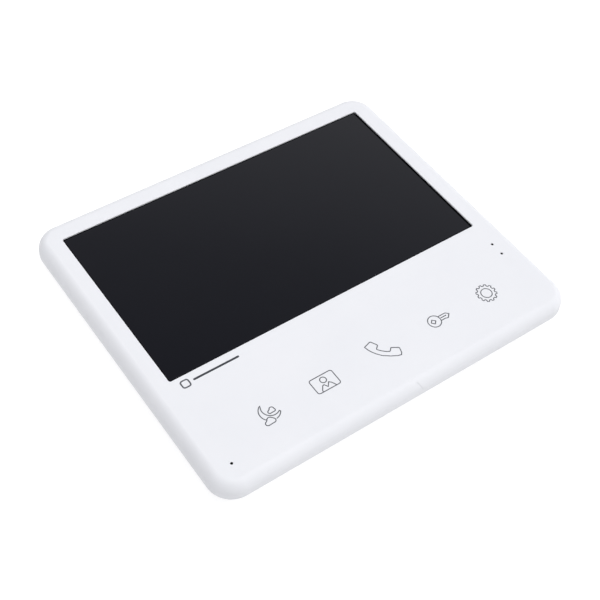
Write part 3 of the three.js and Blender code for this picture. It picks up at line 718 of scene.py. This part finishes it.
def view_key(bm, x, y, width):
    """A picture frame with a head and shoulders in it."""
    card = outline(ring(10.8, 7.2, 0.95, 0, x=x, y=y + 0.3), 6)
    add_stroke(bm, [(u, v) for u, v, _ in card], width, closed=True)
    add_stroke(bm, circle_points(x, y + 1.5, 1.35), width, closed=True)
    base = y + 0.3 - 3.6 + width / 2
    left = [(x - 3.15, base), (x - 3.1, y - 2.5), (x - 1.75, y - 0.7), (x - 1.05, y - 0.55),
            (x - 0.1, y - 2.15)]
    right = [(x + 1.3, y - 0.4), (x + 2.2, y - 1.2), (x + 3.15, base)]
    add_stroke(bm, [*left, *right], width)


def talk_key(bm, x, y, width):
    """A handset seen from the side, its ear at the upper left."""
    belly = [(-5.85, 5.35), (-5.5, 3.6), (-4.85, 1.95), (-3.75, 0.1), (-2.15, -1.85),
             (0.5, -3.75), (2.95, -5.1), (4.55, -5.55)]
    mouth = [(5.25, -4.75), (5.75, -3.3), (5.95, -2.3), (5.65, -2.0), (3.2, -0.5),
             (2.9, -0.6), (1.85, -1.65), (1.45, -1.7)]
    grip = [(0.0, -0.75), (-1.1, 0.3), (-1.85, 1.2), (-2.3, 1.8)]
    ear = [(-2.25, 2.1), (-0.85, 3.3), (-0.8, 3.6), (-2.15, 6.1), (-2.55, 6.3)]
    handset = [(x + u, y + v) for u, v in (*belly, *mouth, *grip, *ear)]
    add_stroke(bm, handset, width, closed=True)


def unlock_key(bm, x, y, width):
    """A key lying with its bow to the left."""
    bow_x, bow_y, bow = x - 2.35, y + 0.35, 2.9
    add_stroke(bm, circle_points(bow_x, bow_y, bow, 48), width, closed=True)
    eye_x, half = bow_x - 0.5, 1.15
    eye = [(eye_x - half, bow_y), (eye_x, bow_y - half), (eye_x + half, bow_y), (eye_x, bow_y + half)]
    add_stroke(bm, eye, width, closed=True)
    blade = 1.2
    root = bow_x + math.sqrt(bow ** 2 - blade ** 2) + width / 2
    tip = x + 5.4
    upper = [(root, bow_y + blade), (tip - 1.3, bow_y + blade), (tip, bow_y + 0.05)]
    lower = [(tip - 1.45, bow_y - 1.4), (tip - 2.1, bow_y - 1.4), (tip - 2.5, bow_y - 1.1),
             (root, bow_y - 1.1)]
    add_stroke(bm, [*upper, *lower], width)
    add_stroke(bm, [(root + 0.5, bow_y + 0.05), (tip - 1.5, bow_y + 0.05)], width)


def settings_key(bm, x, y, width):
    """A gear with twelve rounded teeth and a round hole."""
    teeth, tip, root, hub = 12, 4.5, 3.8, 2.42
    y += 0.3
    points = []
    for tooth in range(teeth):
        middle = 360 / teeth * tooth
        points += arc_points(x, y, tip, middle - 5.2, middle + 5.2, 3)
        points += arc_points(x, y, root, middle + 10.2, middle + 19.8, 3)
    add_stroke(bm, points, width, closed=True)
    add_stroke(bm, circle_points(x, y, hub), width, closed=True)


def printed_keys():
    keys = {
        "silence": (-53.5, silence_key),
        "view": (-27.0, view_key),
        "talk": (2.25, talk_key),
        "unlock": (31.2, unlock_key),
        "settings": (57.2, settings_key),
    }
    for name, (x, draw) in keys.items():
        bm = bmesh.new()
        draw(bm, x, KEY_Y, KEY_STROKE)
        finish_piece(make_object(f"key_print_{name}", bm), INK_GREY, "monitor")


def plain_mark():
    """A plain printed mark under the screen: a small rounded square and a bar."""
    y = -26.0
    square = outline(ring(3.4, 3.4, 0.9, 0, x=-73.0, y=y), 5)
    bar = outline(ring(20.6, 0.36, 0.17, 0, x=-58.9, y=y), 4)
    bm = bmesh.new()
    for shape, width in ((square, 0.62), (bar, 0.6)):
        add_stroke(bm, [(u, v) for u, v, _ in shape], width, closed=True)
    finish_piece(make_object("plain_mark", bm), INK_GREY, "monitor")


def hole_fillers():
    """Smoked light pipes and the microphone's dust screen, just under the mouths of the holes. The
    near-black dust screen just under the microphone hole's mouth is also painted shade of the inside of
    that hole.
    """
    fillers = (
        ("indicator_window_1", INDICATORS[0], "led_clear"),
        ("indicator_window_2", INDICATORS[1], "led_clear"),
        ("microphone_dust_screen_and_hole_shade", MICROPHONE, "black_rubber"),
    )
    reach, low, top, ease = HOLE_RADIUS - 0.03, INNER_Z - 0.05, FACE_Z - 0.14, 0.08
    section = [(0, low), (reach, low), (reach, top - ease), (reach - ease, top), (0, top)]
    for name, (x, y), slot in fillers:
        bm = bmesh.new()
        add_turned(bm, section, x, y, 28)
        finish_piece(make_object(name, bm), SMOKED_AND_HOLE_SHADE, "monitor")


# ---- Rear cover ----

RECESS = ring(119.4, 91.6, 4.6, 1.3, 0.2, y=14.8)
POCKET = ring(72, 28, 1, 1.3, 0.25, y=17)
FLANGE_INSET = 2.7
FLANGE_LOW = 6.9
FLANGE_HIGH = 8.7
PLINTH = ring(BODY_WIDTH - 20, BODY_HEIGHT - 20, 7, 0, 1.6)
COVER_WALL = 1.8
POCKET_TOP = 5.9
SPEAKER_SLOT = {"count": 7, "pitch": 3.1, "wide": 1.6, "reach": 11.5}
SIDE_VENT = {"count": 8, "pitch": 4.6, "wide": 1.8, "long": 8, "x": 67.8, "first_y": 8}
SOUND_SLOT = {"count": 8, "pitch": 3.4, "wide": 1.6}
AIR_SLOT = {"count": 12, "pitch": 5, "wide": 1.8}
END_SLOT_Z, END_SLOT_TALL = 4.3, 3.0


def rear_sections():
    """The cover's closed section, from the flange's edge inward and round through the pocket."""
    inside = offset_ring(PLINTH, -COVER_WALL, FLANGE_HIGH)
    raised = offset_ring(RECESS, 1.8, COVER_WALL)
    shroud = offset_ring(POCKET, 1.4, RECESS.z + COVER_WALL)
    return [
        body_ring(FLANGE_INSET, FLANGE_LOW, 0.3),
        body_ring(FLANGE_INSET, FLANGE_HIGH, 0.3),
        inside._replace(fillet=0.3),
        inside._replace(z=COVER_WALL, fillet=0.6),
        raised._replace(fillet=0.3),
        raised._replace(z=RECESS.z + COVER_WALL, fillet=0.3),
        shroud._replace(fillet=0.3),
        shroud._replace(z=POCKET_TOP, fillet=0.25),
        POCKET._replace(z=POCKET_TOP, fillet=0.25),
        POCKET,
        RECESS,
        RECESS._replace(z=0, fillet=0.3),
        PLINTH,
        PLINTH._replace(z=FLANGE_LOW, fillet=0.5),
    ]


def add_through_slot(bm, section):
    """A cutter for a slot through the cover's back, its outer mouth eased."""
    add_loft(bm, slot_loops(section, 0, COVER_WALL + 1, 0.2), closed=False)


def add_end_slots(bm, slots, middle_x, side):
    """Cutters for a row of upright slots through an end wall of the plinth."""
    wall = PLINTH.height / 2
    section = ring(slots["wide"], END_SLOT_TALL, 0.3, 0)
    flat = slot_loops(section, -wall, -wall + COVER_WALL + 0.6, 0.18, steps=3)
    for i in range(slots["count"]):
        x = middle_x + slots["pitch"] * (i - (slots["count"] - 1) / 2)
        loops = [[(x + u, -side * w, END_SLOT_Z + v) for u, v, w in loop] for loop in flat]
        add_loft(bm, loops, closed=False)


def add_cover_slots(bm):
    """Speaker slots, side vents, the slots in both end walls and the four hook slots."""
    wide = SPEAKER_SLOT["wide"]
    for i in range(SPEAKER_SLOT["count"]):
        y = SPEAKER_SLOT["pitch"] * (i - (SPEAKER_SLOT["count"] - 1) / 2)
        long = 2 * math.sqrt(SPEAKER_SLOT["reach"] ** 2 - y ** 2)
        section = ring(long, wide, wide / 2 - 0.01, 0, x=SPEAKER[0], y=SPEAKER[1] + y)
        add_through_slot(bm, section)
    long, wide = SIDE_VENT["long"], SIDE_VENT["wide"]
    for side in (-1, 1):
        for i in range(SIDE_VENT["count"]):
            y = SIDE_VENT["first_y"] + SIDE_VENT["pitch"] * i
            add_through_slot(bm, ring(long, wide, wide / 2 - 0.01, 0, x=side * SIDE_VENT["x"], y=y))
    add_end_slots(bm, SOUND_SLOT, SPEAKER[0], -1)
    add_end_slots(bm, AIR_SLOT, 0, 1)
    long = LIFT_TRAVEL + 1.7
    for x, y in HOOKS:
        section = ring(HOOK_SLOT_WIDTH, long, 0.4, 0, x=x, y=y + 0.45 - LIFT_TRAVEL / 2)
        add_loft(bm, slot_loops(section, RECESS.z, RECESS.z + 3, 0.2, steps=3), closed=False)


def add_cover_fittings(bm):
    """Board posts, screw seats, the speaker's seat, snap latches and ribs that meet the shell."""
    for place in BOARD_SCREWS:
        add_post(bm, place, bore=1.15, tip=2.7, root=2.9, tip_z=6.0, root_z=2.4, sides=32)
        add_turned(bm, [(0, 1.0), (2.9, 1.0), (2.9, 2.5), (0, 2.5)], *place, 32)
    for x, y in HOUSING_SCREWS:
        add_disc(bm, 4.6, 1, 3.9, x, y, ease=0.2)
    add_post(bm, SPEAKER, bore=14.3, tip=15.6, root=15.6, tip_z=4.6, root_z=1, sides=72)
    flange_rib, inner_rib = (1.4, 75, 1.7), (1.6, 80, 7.3)
    for side in (-1, 1):
        add_block(bm, flange_rib, (side * 84.1, 22.5, 8.85))
        add_block(bm, inner_rib, (side * 73.3, 20, 4.65))
    latch = [(71, 8), (72.2, 8), (72.2, 10.3), (73.2, 10.3), (72.2, 11.5), (71, 11.5)]
    for x in LATCH_XS:
        add_loft(bm, [[(x + end, y, z) for y, z in latch] for end in (-6, 6)], closed=False)


def rear_cover():
    bm = bmesh.new()
    add_loft(bm, [outline(level, 10) for level in eased(rear_sections())], closed=True)
    cover = make_object("housing_rear", bm)
    fittings = bmesh.new()
    add_cover_fittings(fittings)
    join(cover, fittings)
    cutters = bmesh.new()
    add_cover_slots(cutters)
    head, shank = 3.3, 1.7
    counterbore = [(0, -1), (head + 0.25, -1), (head + 0.25, 0), (head, 0.25),
                   (head, 2.2), (shank, 2.2), (shank, 5), (0, 5)]
    for x, y in HOUSING_SCREWS:
        add_turned(cutters, counterbore, x, y, 40)
    cut(cover, cutters)
    soften(cover)
    finish_piece(cover, WHITE_REAR, "monitor", ["rear_cover"], weighted=True)


# ---- Wall bracket ----

SHEET = 1.0
CABLE_WINDOW = ring(80, 36, 2, 0, 0.15, y=18)
PLATE = ring(118, 84, 4, 0, 0.15, y=18)


def add_hook(bm, x, y):
    """A hook bent up out of the plate: a foot, a rounded neck and a finger that points up the wall."""
    top, tip, half_width = 4.4, 5.5, 4.0
    inner = 0.5
    outer = inner + SHEET
    foot = 0.02
    bend_y, bend_z = y + outer, top - outer
    turns = [math.radians(15 * step) for step in range(7)]
    section = [(y, foot), (y, bend_z)]
    section += [(bend_y - outer * math.cos(a), bend_z + outer * math.sin(a)) for a in turns]
    section += [(y + tip - 0.2, top), (y + tip, top - 0.2),
                (y + tip, top - SHEET + 0.1), (y + tip - 0.2, top - SHEET)]
    section += [(bend_y - inner * math.sin(a), bend_z + inner * math.cos(a)) for a in turns]
    section.append((y + SHEET, foot))
    sides = (x - half_width, x + half_width)
    add_loft(bm, [[(u, v, w) for v, w in section] for u in sides], closed=False)


def wall_bracket():
    bm = bmesh.new()
    levels = [PLATE, PLATE._replace(z=SHEET), CABLE_WINDOW._replace(z=SHEET), CABLE_WINDOW]
    add_loft(bm, [outline(level, 8) for level in eased(levels)], closed=True)
    bracket = make_object("bracket_sheet", bm)
    cutters = bmesh.new()
    for x, y in HOOKS:
        section = ring(HOOK_SLOT_WIDTH, 7, 0.5, 0, x=x, y=y + 4.5)
        add_loft(cutters, [outline(section._replace(z=z), 4) for z in (-1, 2)], closed=False)
    flares = [(0.3, -0.3), (0.0, 0.12), (0.0, SHEET - 0.12), (0.3, SHEET + 0.3)]
    for x, y in WALL_SLOTS:
        section = ring(4.6, 10, 2.29, 0, x=x, y=y)
        levels = [offset_ring(section, out, z) for out, z in flares]
        add_loft(cutters, [outline(level, 8) for level in levels], closed=False)
    cut(bracket, cutters)
    hooks = bmesh.new()
    for x, y in HOOKS:
        add_hook(hooks, x, y)
    join(bracket, hooks)
    soften(bracket)
    finish_piece(bracket, ZINC, "bracket", ["wall_bracket"], weighted=True)


# ---- Sockets, screws and the memory card ----

def plug_socket(name, pins):
    """A side-entry socket: an open-mouthed body with a latch window and its row of pins."""
    low, high = cad_box(name)
    width, depth, height = (high[k] - low[k] for k in range(3))
    x, z = (low[0] + high[0]) / 2, (low[2] + high[2]) / 2
    front, back = low[1], high[1]
    bm = bmesh.new()
    add_block(bm, (width, depth, height), (x, front + depth / 2, z), 0.18)
    body = make_object(f"{name}_body", bm)
    cutters = bmesh.new()
    section = ring(width - 1.8, height - 1.4, 0.25, 0, x=x, y=z)
    mouth = slot_loops(section, front, front + depth - 1, 0.15, steps=3)
    add_loft(cutters, [[(u, w, v) for u, v, w in loop] for loop in mouth], closed=False)
    add_block(cutters, (2.6, depth - 2, 1.5), (x, front + (depth - 2) / 2 - 0.5, low[2]))
    cut(body, cutters)
    soften(body)
    finish_piece(body, CREAM, "monitor", [name])
    contacts = bmesh.new()
    pitch = 2.0 if pins > 2 else 2.5
    thick, reach = 0.5, depth - 2.6
    for i in range(pins):
        pin_x = x + pitch * (i - (pins - 1) / 2)
        add_block(contacts, (thick, reach, thick), (pin_x, front + 1.4 + reach / 2, z), 0.08)
        add_block(contacts, (thick, 0.9, thick), (pin_x, back + 0.5, high[2] - 0.3), 0.08)
    finish_piece(make_object(f"{name}_pins", contacts), TIN, "monitor")


Screw = namedtuple("Screw", "head thick shank length seat turn threads")


def screw_mesh(name, size, x, y):
    """A cross-head screw: domed head with a tapered cross, threaded shank and a blunt point."""
    dome = [(0, 1), (0.45, 0.98), (0.75, 0.86), (0.93, 0.58), (1, 0.25), (0.98, 0)]
    section = [(size.head * r, -size.thick * z) for r, z in dome]
    section.append((size.shank, 0))
    root, crest = size.shank * 0.86, size.shank * 1.02
    pitch = size.length / size.threads
    for i in range(size.threads - 1):
        start = 0.25 + i * pitch
        section += [(root, start), (crest, start + pitch * 0.45), (root, start + pitch * 0.9)]
    section += [(size.shank * 0.5, size.length - 0.2), (0, size.length)]
    bm = bmesh.new()
    add_turned(bm, [(r, size.seat + size.turn * z) for r, z in section], x, y, 36)
    screw = make_object(name, bm)
    cutters = bmesh.new()
    above = size.seat - size.turn * (size.thick + 0.3)
    bottom = size.seat - size.turn * size.thick * 0.4
    reach, blade, taper = size.head * 0.58, size.head * 0.13, 0.72
    for a, b in ((reach, blade), (blade, reach)):
        corners = ((a, b), (-a, b), (-a, -b), (a, -b))
        wide = [(x + u, y + v, above) for u, v in corners]
        narrow = [(x + u * taper, y + v * taper, bottom) for u, v in corners]
        add_loft(cutters, [wide, narrow], closed=False)
    cut(screw, cutters)
    soften(screw)
    return screw


def screws():
    """Three families of screws; turn is 1 where the point is up and -1 where it is down."""
    families = (
        ("housing_screw", HOUSING_SCREWS, Screw(2.85, 1.9, 1.15, 8.2, seat=2.15, turn=1, threads=9)),
        ("board_screw", BOARD_SCREWS, Screw(2.25, 1.3, 0.98, 4.6, seat=7.9, turn=-1, threads=6)),
        ("touch_screw", TOUCH_SCREWS, Screw(1.75, 1.1, 0.73, 2.8, seat=10.9, turn=1, threads=5)),
    )
    for family, places, size in families:
        for number, (x, y) in enumerate(places, 1):
            name = f"{family}_{number}"
            screw = screw_mesh(f"{name}_cross_head", size, x, y)
            finish_piece(screw, SCREW, "monitor", [name])


def memory_card():
    """A memory card with eased edges, a thumb groove near its tail and gold contacts under its nose."""
    low, high = cad_box("memory_card")
    tail, nose = high[0], low[0]
    y0, y1 = low[1], high[1]
    step = 1.2
    corners = [
        (tail, y0), (tail, y1), (nose + 6.6, y1), (nose + 5.4, y1 - step),
        (nose + 0.6, y1 - step), (nose, y1 - step - 0.6), (nose, y0),
    ]
    bm = bmesh.new()
    add_loft(bm, [[(x, y, z) for x, y in corners] for z in (low[2], high[2])], closed=False)
    ease_edges(bm, bm.edges[:], 0.1)
    card = make_object("memory_card_body", bm)
    groove = bmesh.new()
    add_block(groove, (0.35, y1 - y0 - 1.6, 0.2), (tail - 1.5, (y0 + y1) / 2, high[2]), 0.05)
    cut(card, groove)
    soften(card)
    finish_piece(card, CARD, "memory_card", ["memory_card"], weighted=True)
    contacts = bmesh.new()
    pitch = 1.1
    for i in range(8):
        place = (nose + 2.0, y0 + 1.0 + pitch * i, low[2] - 0.005)
        add_block(contacts, (2.6, 0.72, 0.04), place, 0.01)
    finish_piece(make_object("memory_card_contacts", contacts), GOLD, "memory_card")


def pocket_parts():
    """Small parts on the underside of the main board that show in the cable pocket."""
    low, _ = cad_box("main_board")
    z = low[2] - 0.25
    first_x, pitch, stagger = -28, 7, 1.6
    bodies, ends = bmesh.new(), bmesh.new()
    for row, y in enumerate((6.5, 10.5, 14.5)):
        for i in range(9):
            x = first_x + pitch * i + stagger * row
            long, wide = (1.6, 0.8) if (i + row) % 3 else (2.0, 1.2)
            add_block(bodies, (long * 0.62, wide, 0.42), (x, y, z), 0.03)
            for side in (-1, 1):
                add_block(ends, (long * 0.19, wide, 0.44), (x + side * long * 0.405, y, z), 0.03)
    finish_piece(make_object("pocket_chip_bodies", bodies), CHIP, "monitor")
    finish_piece(make_object("pocket_chip_ends", ends), TIN, "monitor")


# ---- CAD nodes that keep their shape ----

def paint_cad_nodes():
    key_names = ("silence", "view", "talk", "unlock", "settings")
    looks = {
        FOAM: ["screen_gasket", "foam_strip_left", "foam_strip_right", "speaker_gasket",
               *(f"touch_pad_{key}" for key in key_names)],
        TIN: ["display_bezel", "backlight_tray", "card_socket", "microphone"],
        ZINC: ["speaker_basket"],
        SCREEN: ["display_cell"],
        ACRYLIC: ["light_guide", "backlight_strip"],
        AMBER: ["display_ribbon", "touch_ribbon"],
        BOARD: ["main_board", "touch_board", "indicator_board"],
        CHIP: ["processor", "memory_chip", "video_decoder", "touch_chip",
               "power_inductor_1", "power_inductor_2"],
        TANTALUM: ["power_capacitor_1", "power_capacitor_2"],
        CREAM: ["ribbon_connector"],
        LED: ["indicator_led_1", "indicator_led_2"],
        RUBBER: ["microphone_boot"],
        WIRE_BLACK: ["microphone_lead", "indicator_lead", "speaker_lead_black"],
        WIRE_RED: ["speaker_lead_red"],
        SCREW: ["speaker_magnet"],
        CONE: ["speaker_cone"],
    }
    for material, names in looks.items():
        for name in names:
            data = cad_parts[name].data
            data.materials.clear()
            data.materials.append(material)


# ---- Studio ----

def floor():
    """A pale, evenly lit floor that shows from above and is clear from below."""
    material, nodes, links, shader = new_material("floor_pale")
    drift = add_noise(nodes, links, 6, detail=3)
    tint = add_tint(nodes, links, drift, (0.27, 0.27, 0.272), (0.30, 0.30, 0.302))
    links.new(tint, shader.inputs["Base Color"])
    shader.inputs["Roughness"].default_value = 0.7
    shader.inputs["Emission Color"].default_value = (1, 1, 1, 1)
    shader.inputs["Emission Strength"].default_value = 0.78
    facing = nodes.new("ShaderNodeNewGeometry")
    clear = nodes.new("ShaderNodeBsdfTransparent")
    one_sided = nodes.new("ShaderNodeMixShader")
    links.new(facing.outputs["Backfacing"], one_sided.inputs["Fac"])
    links.new(shader.outputs["BSDF"], one_sided.inputs[1])
    links.new(clear.outputs["BSDF"], one_sided.inputs[2])
    links.new(one_sided.outputs["Shader"], nodes["Material Output"].inputs["Surface"])
    half_size, drop = 60, 0.0002
    bm = bmesh.new()
    bmesh.ops.create_grid(bm, x_segments=1, y_segments=1, size=half_size)
    plane = make_object("floor", bm)
    plane.location.z = -drop
    plane.data.materials.append(material)


def sun(name, place, strength, spread):
    """A distant soft light that shines from a place to the origin and isn't mirrored in the glass."""
    light = bpy.data.lights.new(name, "SUN")
    light.energy = strength
    light.angle = math.radians(spread)
    obj = bpy.data.objects.new(name, light)
    bpy.context.scene.collection.objects.link(obj)
    obj.location = place
    obj.rotation_euler = (-Vector(place)).to_track_quat("-Z", "Y").to_euler()
    obj.visible_glossy = False


def sky():
    """Soft white studio walls: bright low down and to the right, dim overhead."""
    world = bpy.data.worlds.new("studio")
    bpy.context.scene.world = world
    world.use_nodes = True
    nodes, links = world.node_tree.nodes, world.node_tree.links
    place = nodes.new("ShaderNodeTexCoord")
    height = nodes.new("ShaderNodeVectorMath")
    height.operation = "DOT_PRODUCT"
    height.inputs[1].default_value = (-0.08, 0, 1)
    ramp = nodes.new("ShaderNodeValToRGB")
    stops = ((0.0, 0.30), (0.5, 0.76), (0.62, 0.57), (0.67, 0.44), (0.72, 0.30), (0.80, 0.19),
             (1.0, 0.19))
    elements = ramp.color_ramp.elements
    while len(elements) < len(stops):
        elements.new(0.5)
    for element, (position, level) in zip(elements, stops):
        element.position = position
        element.color = (level, level, level * 1.03, 1)
    links.new(place.outputs["Generated"], height.inputs[0])
    links.new(height.outputs["Value"], ramp.inputs["Fac"])
    links.new(ramp.outputs["Color"], nodes["Background"].inputs["Color"])
    nodes["Background"].inputs["Strength"].default_value = 1.0


def lights():
    sun("softbox_top", (0.07, -0.17, 1.1), 2.36, 60)
    sun("softbox_right", (1.1, -0.3, 0.8), 0.65, 50)


CAMERA_PLACE = (-0.20308, -0.24658, 0.38391)
CAMERA_AHEAD = (0.40391, 0.48672, -0.77457)
CAMERA_RIGHT = (0.81522, -0.57567, 0.06337)


def camera():
    """The product view: from the lower left corner, about fifty degrees up, with a long lens."""
    data = bpy.data.cameras.new("camera")
    data.lens = 69.0
    data.sensor_width = 36
    data.clip_start = 0.01
    obj = bpy.data.objects.new("camera", data)
    bpy.context.scene.collection.objects.link(obj)
    back = -Vector(CAMERA_AHEAD).normalized()
    right = Vector(CAMERA_RIGHT)
    right = (right - back * right.dot(back)).normalized()
    up = back.cross(right)
    turn = Matrix((right, up, back)).transposed()
    obj.matrix_world = Matrix.Translation(CAMERA_PLACE) @ turn.to_4x4()
    bpy.context.scene.camera = obj


camera()
front_shell()
screen()
printed_keys()
plain_mark()
hole_fillers()
rear_cover()
wall_bracket()
for socket_name in ("door_socket_1", "door_socket_2", "camera_socket_1", "camera_socket_2"):
    plug_socket(socket_name, pins=4)
plug_socket("supply_socket", pins=2)
screws()
memory_card()
pocket_parts()
paint_cad_nodes()
floor()
sky()
lights()
bpy.context.scene.view_settings.view_transform = "Standard"
